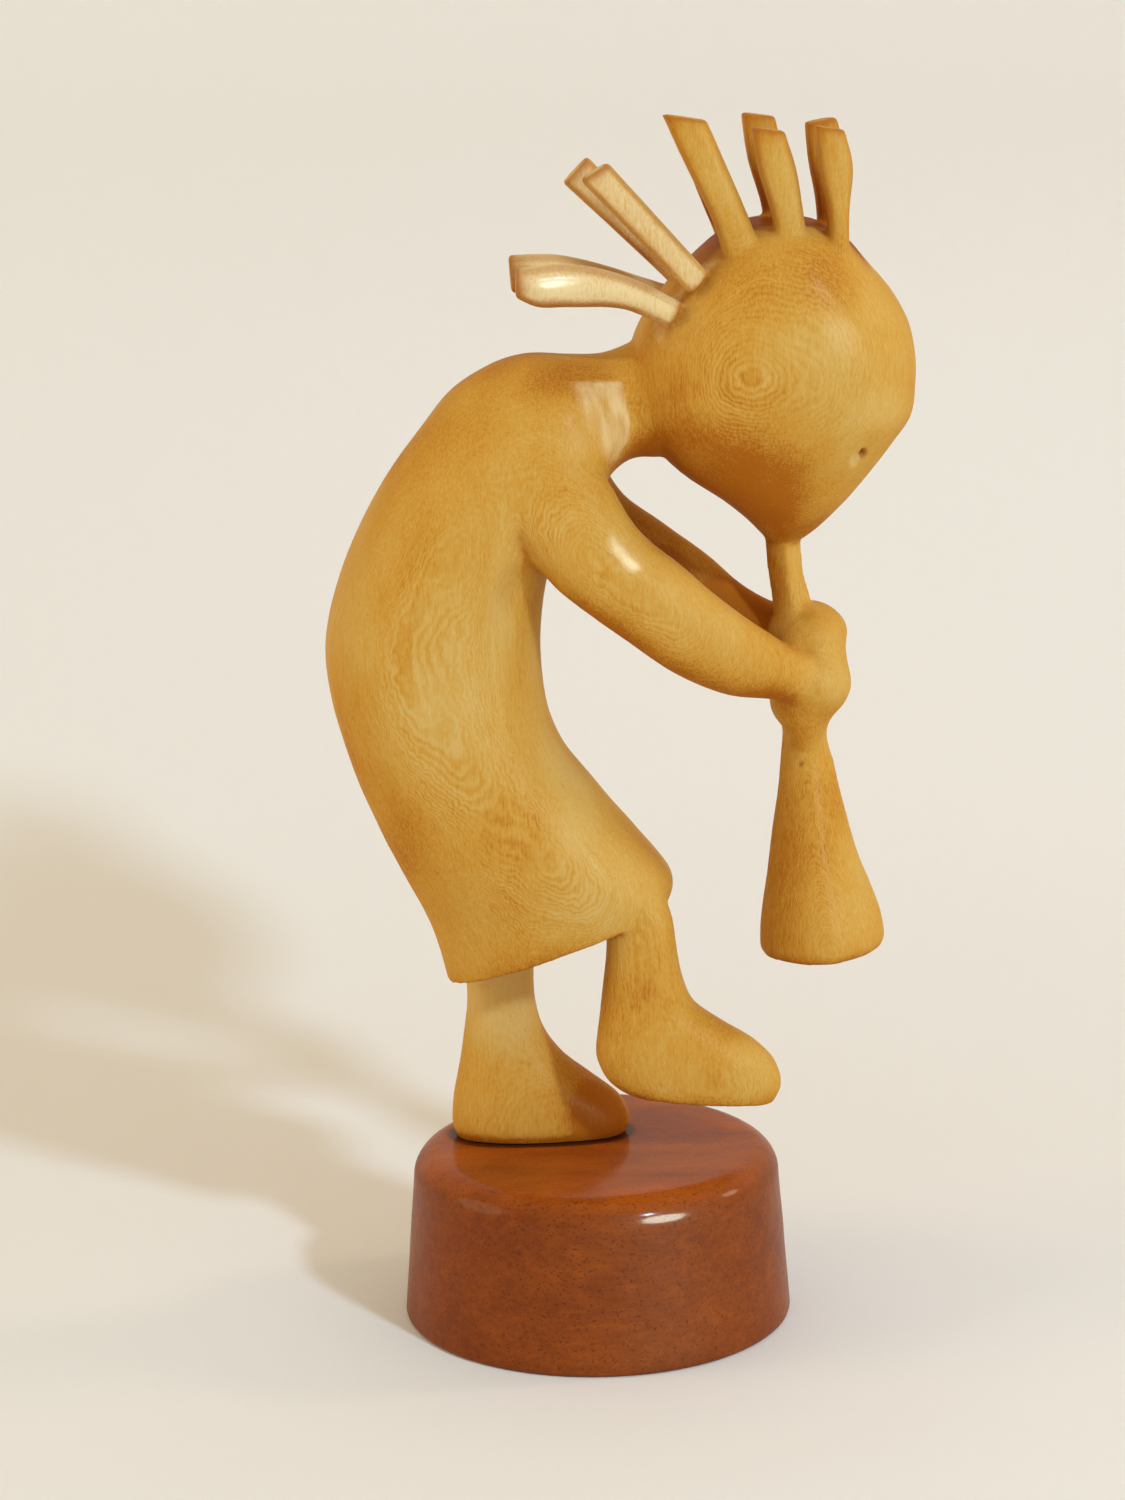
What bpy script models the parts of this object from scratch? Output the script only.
"""A small carved wooden flute player, standing on one foot on a turned wooden disc.

The figure is one solid piece: a hunched body in a plain robe, a bulb head with five pairs of
hair quills, two arms whose hands close round a flared flute, one leg standing and one raised.
It is built from lofts through named cross-sections, which are then fused, rounded and thinned
out. The disc under it is a turned profile. The figure faces +X, its left side is +Y, and the
origin is the centre of the disc's underside. Lengths are in metres.
"""

import math
from typing import NamedTuple

import bmesh
import bpy
import numpy as np
from mathutils import Matrix, Vector

# The disc
BASE_HEIGHT = 0.0269
BASE_FOOT_RADIUS = 0.0300
BASE_TOP_RADIUS = 0.0283
BASE_TOP_ROUNDING = 0.0026
BASE_FOOT_ROUNDING = 0.0009
BASE_SEGMENTS = 60
ROUNDING_STEPS = 5

# The figure: its height from the sole to the tallest quill, and its stance on the disc
FIGURE_HEIGHT = 0.1592
STANCE_FORWARD = 0.0
STANCE_LEFT = 0.0
GAP = 0.0003

# The carving is written in parts of the figure's height. At the height above a part is 1 mm.
PARTS_IN_HEIGHT = 159.2
PART = FIGURE_HEIGHT / PARTS_IN_HEIGHT

# Sizes of their own within the carving
QUILL_THICKNESS = 0.0054
FLUTE_MOUTH_RADIUS = 0.0027
FLUTE_BELL_RADIUS = 0.0097
EYE_RADIUS = 0.0014
EYE_DEPTH = 0.0010

# Fineness of the fused surface
GRAIN_OF_FUSION = 0.00055
ROUNDING_PASSES = 3
ROUNDING_STRENGTH = 0.5
FIGURE_TRIANGLES = 8300
STEPS_BETWEEN_CUTS = 5
POINTS_ROUND_BODY = 44
POINTS_ROUND_LIMB = 28
POINTS_ROUND_MASS = 32
RINGS_OF_MASS = 20


class Cut(NamedTuple):
    """One cross-section of a loft, in parts.

    back and front are its ends in the figure's middle plane as (forward, up), side is how far
    left of that plane it lies, and width is half its breadth. lean makes it broader in front.
    """

    back: tuple
    front: tuple
    side: float
    width: float
    lean: float = 0.0


ROBE = (
    Cut((-22.3, 27.8), (11.9, 40.2), 0.0, 12.8, 0.16),
    Cut((-24.7, 35.5), (12.4, 43.2), 0.0, 14.2, 0.14),
    Cut((-28.8, 44.2), (7.2, 50.1), 0.0, 15.8, 0.10),
    Cut((-33.3, 53.8), (1.2, 57.4), 0.0, 16.5, 0.05),
    Cut((-36.9, 63.3), (-4.3, 64.7), 0.0, 17.0, 0.0),
    Cut((-39.3, 72.7), (-6.7, 71.8), 0.0, 17.2, -0.08),
    Cut((-39.9, 80.2), (-7.3, 80.4), 0.0, 17.2, -0.12),
    Cut((-38.2, 89.0), (-6.4, 89.4), 0.0, 17.2, -0.12),
    Cut((-33.4, 100.2), (-3.0, 96.8), 0.0, 17.0, -0.06),
    Cut((-26.1, 111.3), (2.1, 103.1), 0.0, 16.4, 0.08),
    Cut((-18.5, 119.9), (3.8, 106.1), 0.0, 15.4, 0.14),
    Cut((-8.6, 123.9), (5.6, 107.6), 0.0, 13.6, 0.12),
    Cut((-2.4, 123.6), (6.8, 108.1), 0.0, 11.8, 0.05),
    Cut((2.6, 123.7), (8.2, 108.3), 0.0, 10.2, 0.0),
    Cut((7.4, 125.4), (11.4, 108.3), 0.0, 10.6, 0.0),
    Cut((12.4, 127.1), (17.3, 110.4), 0.0, 12.8, 0.0),
    Cut((18.4, 128.4), (24.0, 111.4), 0.0, 16.4, 0.0),
)

HEAD = (
    Cut((27.0, 94.6), (32.8, 94.4), 0.0, 3.0),
    Cut((25.9, 96.8), (34.2, 96.4), 0.0, 4.8),
    Cut((20.9, 101.2), (38.5, 100.7), 0.0, 9.2),
    Cut((13.9, 106.0), (42.4, 105.2), 0.0, 13.0),
    Cut((9.6, 110.6), (45.8, 109.7), 0.0, 16.0),
    Cut((7.0, 115.1), (48.8, 114.2), 0.0, 18.0),
    Cut((6.3, 119.7), (49.4, 118.7), 0.0, 19.3),
    Cut((6.9, 124.2), (49.4, 123.2), 0.0, 19.9),
    Cut((8.7, 128.6), (48.4, 127.7), 0.0, 19.7),
    Cut((11.9, 133.0), (46.0, 132.3), 0.0, 18.8),
    Cut((16.0, 137.4), (42.3, 136.8), 0.0, 17.2),
    Cut((20.4, 141.0), (38.9, 140.7), 0.0, 15.0),
    Cut((24.5, 142.9), (35.0, 142.8), 0.0, 11.5),
)

NEAR_ARM = (
    Cut((-22.0, 110.0), (-11.0, 118.0), -8.0, 5.0),
    Cut((-17.3, 104.0), (-4.6, 114.6), -10.0, 5.6),
    Cut((-11.6, 97.3), (1.4, 108.2), -11.6, 6.2),
    Cut((-4.7, 90.0), (6.2, 99.9), -12.9, 6.2),
    Cut((4.5, 82.8), (13.6, 93.2), -13.0, 5.8),
    Cut((12.9, 76.7), (20.5, 87.0), -11.6, 5.4),
    Cut((20.5, 73.0), (26.7, 82.2), -9.0, 4.9),
    Cut((27.6, 71.6), (31.6, 79.0), -6.2, 4.6),
    Cut((33.0, 70.0), (35.6, 77.6), -3.6, 4.4),
)

FAR_ARM = (
    Cut((-22.0, 110.0), (-11.0, 118.0), 8.0, 5.0),
    Cut((-17.3, 104.0), (-4.6, 114.6), 10.0, 5.6),
    Cut((-11.6, 97.3), (1.4, 108.2), 11.6, 6.2),
    Cut((-4.9, 89.9), (6.4, 100.1), 12.9, 6.2),
    Cut((4.6, 84.0), (13.1, 94.8), 12.9, 5.8),
    Cut((12.6, 79.2), (19.5, 90.2), 11.4, 5.3),
    Cut((20.0, 76.7), (25.2, 85.9), 8.8, 4.8),
    Cut((26.6, 76.4), (29.7, 83.9), 6.0, 4.5),
    Cut((32.4, 76.4), (34.4, 83.6), 3.6, 4.3),
)

RAISED_LEG = (
    Cut((1.8, 42.0), (9.4, 44.4), -7.0, 4.6),
    Cut((1.8, 36.3), (11.7, 38.6), -7.0, 5.0),
    Cut((1.6, 32.6), (12.5, 32.9), -7.0, 5.0),
    Cut((1.0, 27.2), (13.6, 27.6), -7.0, 5.0),
    Cut((0.5, 22.8), (15.1, 24.4), -7.0, 5.1),
    Cut((0.0, 19.2), (19.5, 21.1), -7.0, 5.3),
    Cut((0.0, 15.8), (24.9, 17.5), -7.0, 5.5),
    Cut((1.3, 12.8), (27.6, 14.4), -7.0, 5.5),
    Cut((3.3, 11.0), (28.4, 10.8), -7.0, 5.3),
    Cut((5.2, 10.1), (27.1, 8.2), -7.0, 4.9),
)

STANDING_LEG = (
    Cut((-19.0, 36.0), (-8.2, 40.0), 6.5, 5.3),
    Cut((-19.6, 27.0), (-8.9, 27.6), 6.5, 5.3),
    Cut((-19.5, 21.8), (-8.8, 21.5), 6.5, 5.3),
    Cut((-19.9, 17.7), (-7.7, 17.3), 6.5, 5.5),
    Cut((-20.7, 12.8), (-4.3, 12.3), 6.5, 5.9),
    Cut((-21.4, 9.4), (0.1, 8.8), 6.5, 6.5),
    Cut((-22.1, 4.6), (5.1, 4.2), 6.5, 7.0),
    Cut((-22.1, 1.2), (5.7, 1.2), 6.5, 7.0),
    Cut((-21.4, -0.4), (4.9, -0.4), 6.5, 6.2),
)

# Quills, as (lower or rear edge, upper or front edge, side) from root to tip, and how much
# broader they are cut than they end up once their edges are rounded
QUILL_ALLOWANCE = 1.05
NEAR_QUILLS = (
    (((11.6, 129.0), (13.6, 132.3), -12.6), ((5.4, 131.9), (7.0, 136.6), -12.0),
     ((-3.4, 132.2), (-3.3, 138.3), -12.0), ((-7.8, 132.5), (-7.7, 138.1), -12.0),
     ((-10.7, 133.9), (-10.5, 137.9), -12.0)),
    (((14.8, 133.8), (17.4, 136.7), -12.5), ((-0.8, 150.5), (3.0, 152.8), -12.0)),
    (((21.5, 134.0), (27.0, 134.0), -10.6), ((19.2, 143.2), (23.9, 143.6), -11.4),
     ((14.1, 154.0), (19.6, 154.1), -11.9), ((11.5, 159.5), (17.5, 158.5), -12.0)),
    (((27.2, 134.0), (33.0, 134.0), -10.6), ((26.2, 145.0), (31.4, 145.2), -11.4),
     ((24.6, 152.1), (30.2, 152.0), -11.9), ((24.1, 157.6), (28.7, 156.9), -12.0)),
    (((34.0, 134.0), (38.4, 134.0), -10.6), ((34.0, 145.0), (38.1, 145.0), -11.4),
     ((33.2, 152.0), (38.6, 152.0), -11.9), ((33.2, 157.7), (37.4, 157.0), -12.0)),
)
FAR_QUILLS = (
    (((11.6, 129.1), (13.6, 132.3), 12.6), ((5.3, 131.5), (6.6, 135.6), 12.0),
     ((-2.8, 131.8), (-2.7, 137.3), 12.0), ((-10.2, 131.9), (-10.6, 137.4), 12.0)),
    (((14.9, 132.1), (17.9, 134.8), 12.4), ((-2.0, 148.3), (1.5, 152.0), 12.0)),
    (((23.2, 134.0), (28.6, 134.0), 10.6), ((21.0, 141.3), (26.0, 141.5), 11.4),
     ((17.2, 152.0), (22.4, 151.6), 11.9), ((15.6, 156.4), (21.2, 155.8), 12.0)),
    (((29.2, 134.0), (34.0, 134.0), 10.6), ((27.8, 145.2), (32.6, 145.2), 11.4),
     ((26.1, 151.1), (31.4, 151.0), 11.9), ((25.1, 158.2), (29.9, 157.6), 12.0)),
    (((36.5, 134.0), (40.5, 134.0), 10.6), ((36.3, 144.6), (40.4, 144.6), 11.4),
     ((35.2, 151.0), (40.6, 151.0), 11.9), ((34.7, 156.5), (39.2, 157.2), 12.0)),
)

# The flute's centre line as (forward, up), and how far its radius has grown from mouth to bell
FLUTE = (
    (29.4, 99.0, 0.0),
    (29.7, 95.3, 0.0),
    (30.2, 89.4, 0.0),
    (31.0, 85.5, 0.04),
    (32.9, 66.0, 0.11),
    (33.4, 58.8, 0.22),
    (33.8, 51.8, 0.42),
    (34.3, 44.6, 0.62),
    (35.0, 38.4, 0.86),
    (35.5, 34.0, 0.98),
    (35.75, 31.4, 0.98),
    (35.85, 30.2, 0.88),
)

# Rounded masses, as centre (forward, left, up) and half sizes along the same axes
HANDS = (
    ((33.8, -2.4, 73.4), (6.1, 6.6, 6.3)),
    ((32.7, -1.0, 69.4), (4.3, 5.4, 5.6)),
    ((33.4, 0.8, 80.2), (6.2, 7.2, 5.0)),
)

# Places where the fused surface is rubbed smooth, as (centre (forward, left, up), reach, passes).
# The rubbing fades out over the outer share of the reach.
RUBBING_FADES_OVER = 0.5
RUBBED = (
    ((-11.0, 13.0, 112.5), 13.5, 60),
    ((1.0, 11.0, 112.5), 8.0, 20),
    ((12.0, 11.0, 118.0), 8.0, 60),
)

# Places pressed in, or swelled where the depth is negative, as (centre, half sizes, depth)
PRESSED = (
    ((-10.5, 15.5, 89.5), (5.5, 6.0, 6.5), 1.6),
    ((39.6, 11.6, 108.6), (EYE_RADIUS / PART, 4.0, EYE_RADIUS / PART), EYE_DEPTH / PART),
)

# The trough over the crown between the two rows of quills: the arc that it follows round the
# head's centre, from front to back in degrees, and the half sizes and depth of each scoop
CROWN_CENTRE = (28.6, 119.0)
CROWN_REACH = (22.5, 24.0)
TROUGH_ARC = (62.0, 150.0)
TROUGH_SCOOPS = 12
SCOOP = (5.0, 8.6, 5.0)
SCOOP_DEPTH = 0.55

# Chords are taken as no shorter than this, so that doubled end points do no harm
SHORTEST_CHORD = 1e-6

# How square the cross-sections are: 2 is an ellipse
BODY_SQUARENESS = 2.35
HEAD_SQUARENESS = 2.5
LIMB_SQUARENESS = 2.2
FOOT_SQUARENESS = 2.5
QUILL_SQUARENESS = 3.2
ROUND = 2.0


def clear_scene():
    """Remove whatever the scene starts with."""
    for item in list(bpy.data.objects):
        bpy.data.objects.remove(item, do_unlink=True)


def wood(name, colour, roughness):
    """Make a plain wood finish of one colour."""
    material = bpy.data.materials.new(name)
    material.use_nodes = True
    shader = material.node_tree.nodes["Principled BSDF"]
    shader.inputs["Base Color"].default_value = (*colour, 1.0)
    shader.inputs["Roughness"].default_value = roughness
    shader.inputs["Metallic"].default_value = 0.0
    material.diffuse_color = (*colour, 1.0)
    return material


def add_object(name, mesh, material):
    """Put a mesh in the scene under a name, with a finish and smooth shading."""
    mesh.name = name
    mesh.materials.clear()
    mesh.materials.append(material)
    mesh.shade_smooth()
    item = bpy.data.objects.new(name, mesh)
    bpy.context.collection.objects.link(item)
    return item


def add_skin(shape, rings):
    """Join rings of equal size into a closed skin with flat ends."""
    loops = [[shape.verts.new(point) for point in ring] for ring in rings]
    for near, far in zip(loops, loops[1:]):
        for here in range(len(near)):
            after = (here + 1) % len(near)
            shape.faces.new((near[here], near[after], far[after], far[here]))
    shape.faces.new(reversed(loops[0]))
    shape.faces.new(loops[-1])


def in_between(before, start, end, after, share):
    """Follow a smooth curve from start to end, given the points either side of them.

    The points are vectors of any length, and the curve's speed follows the chords' lengths.
    """
    first = max((start - before).length, SHORTEST_CHORD)
    middle = max((end - start).length, SHORTEST_CHORD)
    last = max((after - end).length, SHORTEST_CHORD)
    leaving = ((start - before) / first * middle + (end - start) / middle * first) / (first + middle)
    arriving = ((end - start) / middle * last + (after - end) / last * middle) / (middle + last)
    square = share * share
    cube = square * share
    return (
        start * (2 * cube - 3 * square + 1)
        + leaving * middle * (cube - 2 * square + share)
        + end * (3 * square - 2 * cube)
        + arriving * middle * (cube - square)
    )


def smooth_run(rows, steps):
    """Add rows of numbers between the given ones, along a smooth curve through them all."""
    rows = [Vector(row) for row in rows]
    padded = [rows[0]] + rows + [rows[-1]]
    result = []
    for index in range(len(rows) - 1):
        for step in range(steps):
            result.append(in_between(*padded[index:index + 4], step / steps))
    result.append(rows[-1])
    return result


def signed_power(value, power):
    """Raise a number's size to a power and keep its sign."""
    return math.copysign(abs(value) ** power, value)


def cross_section(row, count, squareness):
    """Work out the points of one rounded cross-section from a loft's row of numbers."""
    back_x, back_z, front_x, front_z, side, width, lean = row
    centre = Vector(((back_x + front_x) / 2, side, (back_z + front_z) / 2))
    reach = Vector(((front_x - back_x) / 2, 0.0, (front_z - back_z) / 2))
    points = []
    for index in range(count):
        angle = math.tau * index / count
        along = signed_power(math.cos(angle), 2 / squareness)
        across = signed_power(math.sin(angle), 2 / squareness)
        breadth = width * across * (1 + lean * math.cos(angle))
        points.append((centre + reach * along + Vector((0.0, breadth, 0.0))) * PART)
    return points


def add_loft(shape, cuts, count, squareness):
    """Add a closed loft through cross-sections."""
    rows = [(*cut.back, *cut.front, cut.side, cut.width, cut.lean) for cut in cuts]
    rings = [cross_section(row, count, squareness) for row in smooth_run(rows, STEPS_BETWEEN_CUTS)]
    add_skin(shape, rings)


def add_quill(shape, stations):
    """Add one hair quill, with square-cut ends."""
    width = QUILL_THICKNESS / PART / 2
    cuts = []
    for lower, upper, side in stations:
        middle = (Vector(lower) + Vector(upper)) / 2
        reach = (Vector(upper) - Vector(lower)) / 2 * QUILL_ALLOWANCE
        cuts.append(Cut(tuple(middle - reach), tuple(middle + reach), side, width))
    add_loft(shape, cuts, POINTS_ROUND_LIMB, QUILL_SQUARENESS)


def add_flute(shape):
    """Add the flute: a slim tube that flares into a bell, with a flat end square to it."""
    growth = FLUTE_BELL_RADIUS - FLUTE_MOUTH_RADIUS
    rows = [(x, z, (FLUTE_MOUTH_RADIUS + growth * share) / PART) for x, z, share in FLUTE]
    run = smooth_run(rows, STEPS_BETWEEN_CUTS)
    rings = []
    for index, (x, z, radius) in enumerate(run):
        before = run[max(index - 1, 0)]
        after = run[min(index + 1, len(run) - 1)]
        course = Vector((after[0] - before[0], after[1] - before[1])).normalized()
        reach = Vector((-course[1], course[0])) * radius
        row = (x - reach[0], z - reach[1], x + reach[0], z + reach[1], 0.0, radius, 0.0)
        rings.append(cross_section(row, POINTS_ROUND_LIMB, ROUND))
    add_skin(shape, rings)


def add_mass(shape, centre, half_sizes):
    """Add an egg-shaped mass."""
    stretch = Matrix.Diagonal((*(Vector(half_sizes) * PART), 1.0))
    bmesh.ops.create_uvsphere(shape, u_segments=POINTS_ROUND_MASS, v_segments=RINGS_OF_MASS, radius=1.0,
                              matrix=Matrix.Translation(Vector(centre) * PART) @ stretch)


def rough_figure():
    """Put the figure's parts together as overlapping closed skins."""
    shape = bmesh.new()
    add_loft(shape, ROBE, POINTS_ROUND_BODY, BODY_SQUARENESS)
    add_loft(shape, HEAD, POINTS_ROUND_BODY, HEAD_SQUARENESS)
    for arm in (NEAR_ARM, FAR_ARM):
        add_loft(shape, arm, POINTS_ROUND_LIMB, LIMB_SQUARENESS)
    for leg in (RAISED_LEG, STANDING_LEG):
        add_loft(shape, leg, POINTS_ROUND_LIMB, FOOT_SQUARENESS)
    for quill in NEAR_QUILLS + FAR_QUILLS:
        add_quill(shape, quill)
    add_flute(shape)
    for centre, half_sizes in HANDS:
        add_mass(shape, centre, half_sizes)
    bmesh.ops.recalc_face_normals(shape, faces=shape.faces)
    mesh = bpy.data.meshes.new("rough figure")
    shape.to_mesh(mesh)
    shape.free()
    return mesh


def shaped_copy(item):
    """Return the mesh that an object's modifiers give, and remove the object."""
    graph = bpy.context.evaluated_depsgraph_get()
    mesh = bpy.data.meshes.new_from_object(item.evaluated_get(graph))
    bpy.data.objects.remove(item, do_unlink=True)
    return mesh


def both_sides(place):
    """Return a place given as (forward, left, up) in parts, on the right and on the left."""
    forward, left, up = place
    return [Vector((forward, side * left, up)) * PART for side in (-1.0, 1.0)]


def rub_smooth(item):
    """Fair the surface round each rubbed place on both sides, strongest at its centre."""
    for place, reach, passes in RUBBED:
        group = item.vertex_groups.new(name="rubbed")
        for centre in both_sides(place):
            for vertex in item.data.vertices:
                share = 1.0 - (vertex.co - centre).length / (reach * PART)
                if share > 0.0:
                    group.add([vertex.index], min(1.0, share / RUBBING_FADES_OVER), "REPLACE")
        rub = item.modifiers.new("Rub", "SMOOTH")
        rub.factor = ROUNDING_STRENGTH
        rub.iterations = passes
        rub.vertex_group = group.name


def hollows():
    """List every pressed place as (centre, half sizes, depth), in metres."""
    places = []
    for place, half_sizes, depth in PRESSED:
        for centre in both_sides(place):
            places.append((centre, Vector(half_sizes) * PART, depth * PART))
    start, end = TROUGH_ARC
    for scoop in range(TROUGH_SCOOPS):
        angle = math.radians(start + (end - start) * scoop / (TROUGH_SCOOPS - 1))
        forward = CROWN_CENTRE[0] + CROWN_REACH[0] * math.cos(angle)
        up = CROWN_CENTRE[1] + CROWN_REACH[1] * math.sin(angle)
        places.append((Vector((forward, 0.0, up)) * PART, Vector(SCOOP) * PART, SCOOP_DEPTH * PART))
    return places


def press(mesh):
    """Press shallow hollows into the surface, or swell it, along its own normals."""
    count = len(mesh.vertices)
    points = np.empty(count * 3)
    normals = np.empty(count * 3)
    mesh.vertices.foreach_get("co", points)
    mesh.vertices.foreach_get("normal", normals)
    points = points.reshape(count, 3)
    normals = normals.reshape(count, 3)
    sunk = np.zeros(count)
    for centre, half_sizes, depth in hollows():
        offset = (points - np.array(centre)) / np.array(half_sizes)
        share = np.clip(1.0 - (offset ** 2).sum(axis=1), 0.0, 1.0)
        sunk += depth * share * share
    mesh.vertices.foreach_set("co", (points - normals * sunk[:, None]).ravel())
    mesh.update()
    return mesh


def fused(mesh):
    """Fuse overlapping skins into one, soften the creases and thin the triangles out."""
    item = bpy.data.objects.new("fusing", mesh)
    bpy.context.collection.objects.link(item)
    remesh = item.modifiers.new("Fuse", "REMESH")
    remesh.mode = "VOXEL"
    remesh.voxel_size = GRAIN_OF_FUSION
    soften = item.modifiers.new("Soften", "SMOOTH")
    soften.factor = ROUNDING_STRENGTH
    soften.iterations = ROUNDING_PASSES
    item = bpy.data.objects.new("rubbing", press(shaped_copy(item)))
    bpy.context.collection.objects.link(item)
    rub_smooth(item)
    fine = shaped_copy(item)
    fine.calc_loop_triangles()
    item = bpy.data.objects.new("thinning", fine)
    bpy.context.collection.objects.link(item)
    thin = item.modifiers.new("Thin", "DECIMATE")
    thin.ratio = min(1.0, FIGURE_TRIANGLES / len(fine.loop_triangles))
    thin.use_collapse_triangulate = True
    return shaped_copy(item)


def stand_on_disc(mesh):
    """Cut the standing sole flat and set it just above the disc's top."""
    shape = bmesh.new()
    shape.from_mesh(mesh)
    everything = shape.verts[:] + shape.edges[:] + shape.faces[:]
    cut = bmesh.ops.bisect_plane(shape, geom=everything, plane_co=(0.0, 0.0, 0.0),
                                 plane_no=(0.0, 0.0, 1.0), clear_inner=True)
    rim = [edge for edge in cut["geom_cut"] if isinstance(edge, bmesh.types.BMEdge)]
    sole = bmesh.ops.contextual_create(shape, geom=rim)["faces"]
    bmesh.ops.triangulate(shape, faces=sole)
    bmesh.ops.recalc_face_normals(shape, faces=shape.faces)
    stance = Vector((STANCE_FORWARD, STANCE_LEFT, BASE_HEIGHT + GAP))
    bmesh.ops.translate(shape, verts=shape.verts, vec=stance)
    shape.to_mesh(mesh)
    shape.free()
    return mesh


def build_figure():
    """Carve the figure."""
    mesh = stand_on_disc(fused(rough_figure()))
    return add_object("figure", mesh, wood("pale varnished wood", (0.58, 0.33, 0.10), 0.38))


def corner_arc(radius, height, rounding, start, turn):
    """Return the points of a rounded corner as (radius, height), from its start angle on."""
    points = []
    for step in range(ROUNDING_STEPS + 1):
        angle = start + turn * step / ROUNDING_STEPS
        points.append((radius + rounding * math.cos(angle), height + rounding * math.sin(angle)))
    return points


def build_base():
    """Turn the disc: a wall that tapers a little, with a rounded top edge and foot."""
    quarter = math.pi / 2
    top = corner_arc(BASE_TOP_RADIUS - BASE_TOP_ROUNDING, BASE_HEIGHT - BASE_TOP_ROUNDING,
                     BASE_TOP_ROUNDING, quarter, -quarter)
    foot = corner_arc(BASE_FOOT_RADIUS - BASE_FOOT_ROUNDING, BASE_FOOT_ROUNDING,
                      BASE_FOOT_ROUNDING, 0.0, -quarter)
    rings = []
    for radius, height in top + foot:
        ring = []
        for index in range(BASE_SEGMENTS):
            angle = math.tau * index / BASE_SEGMENTS
            ring.append(Vector((radius * math.cos(angle), radius * math.sin(angle), height)))
        rings.append(ring)
    shape = bmesh.new()
    add_skin(shape, rings)
    bmesh.ops.triangulate(shape, faces=shape.faces)
    bmesh.ops.recalc_face_normals(shape, faces=shape.faces)
    mesh = bpy.data.meshes.new("base")
    shape.to_mesh(mesh)
    shape.free()
    return add_object("base", mesh, wood("red-brown varnished wood", (0.21, 0.055, 0.018), 0.22))


def main():
    """Build both pieces."""
    clear_scene()
    build_figure()
    build_base()


main()
